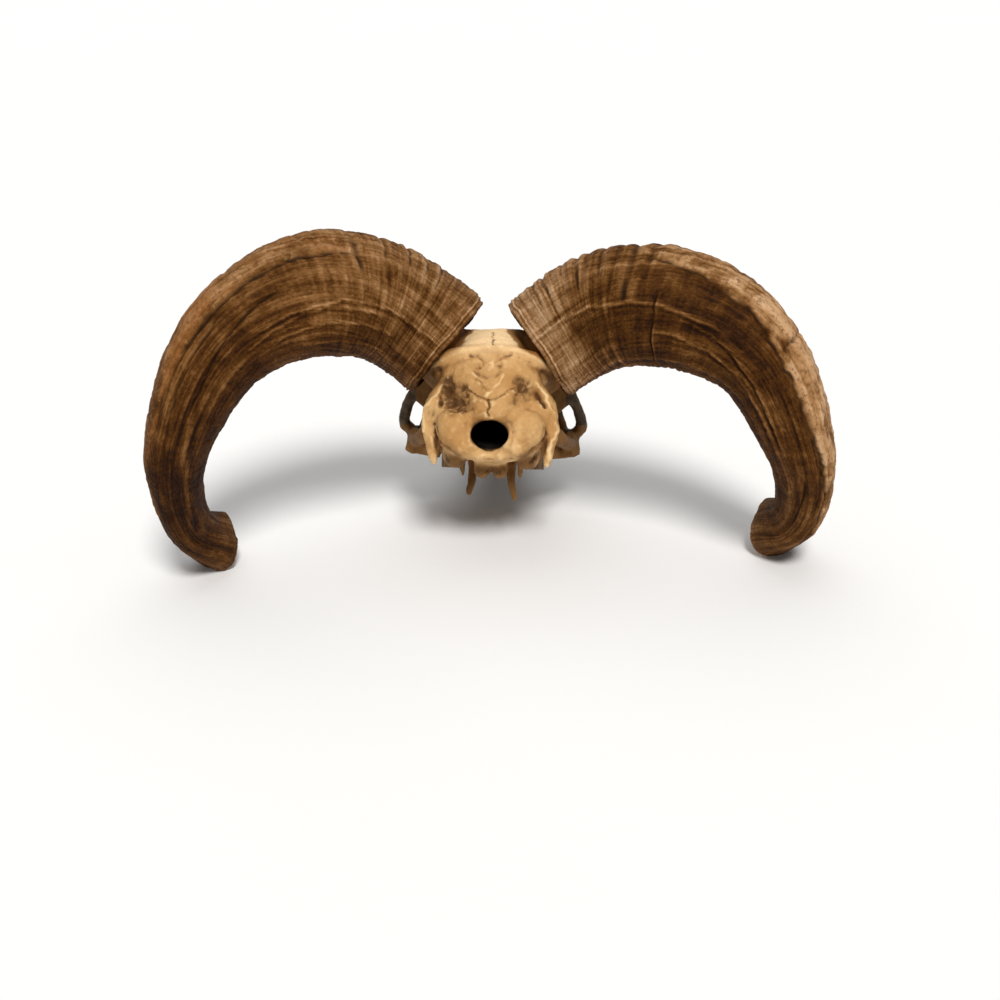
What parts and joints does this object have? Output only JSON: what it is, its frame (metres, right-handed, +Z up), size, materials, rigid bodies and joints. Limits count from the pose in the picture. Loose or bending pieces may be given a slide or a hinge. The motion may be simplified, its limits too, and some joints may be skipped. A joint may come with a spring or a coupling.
{
  "type": "painted bighorn sheep skull",
  "caption": "Ram skull without lower jaw, natural bone behind and a painted face, with two curled ridged horn sheaths and upper cheek teeth.",
  "frame": {"origin": "middle of the bounding box on the surface that the skull rests on", "axes": "+X to the viewer's right seen from behind the skull, +Y towards the nose, +Z up"},
  "size_m": [0.4366, 0.303, 0.2337],
  "materials": {
    "bone": "dry matt bone, amber brown behind, the face under a matt charcoal coat",
    "horn": "weathered dark brown keratin with growth ridges, satin",
    "tooth": "worn cream enamel, smooth"
  },
  "bodies": {
    "root": {"skull": "bone", "horn_left": "horn", "horn_right": "horn", "tooth_left_P2": "tooth", "tooth_left_P3": "tooth", "tooth_left_P4": "tooth", "tooth_left_M1": "tooth", "tooth_left_M2": "tooth", "tooth_left_M3": "tooth", "tooth_right_P2": "tooth", "tooth_right_P3": "tooth", "tooth_right_P4": "tooth", "tooth_right_M1": "tooth", "tooth_right_M2": "tooth", "tooth_right_M3": "tooth"}
  },
  "joints": []
}
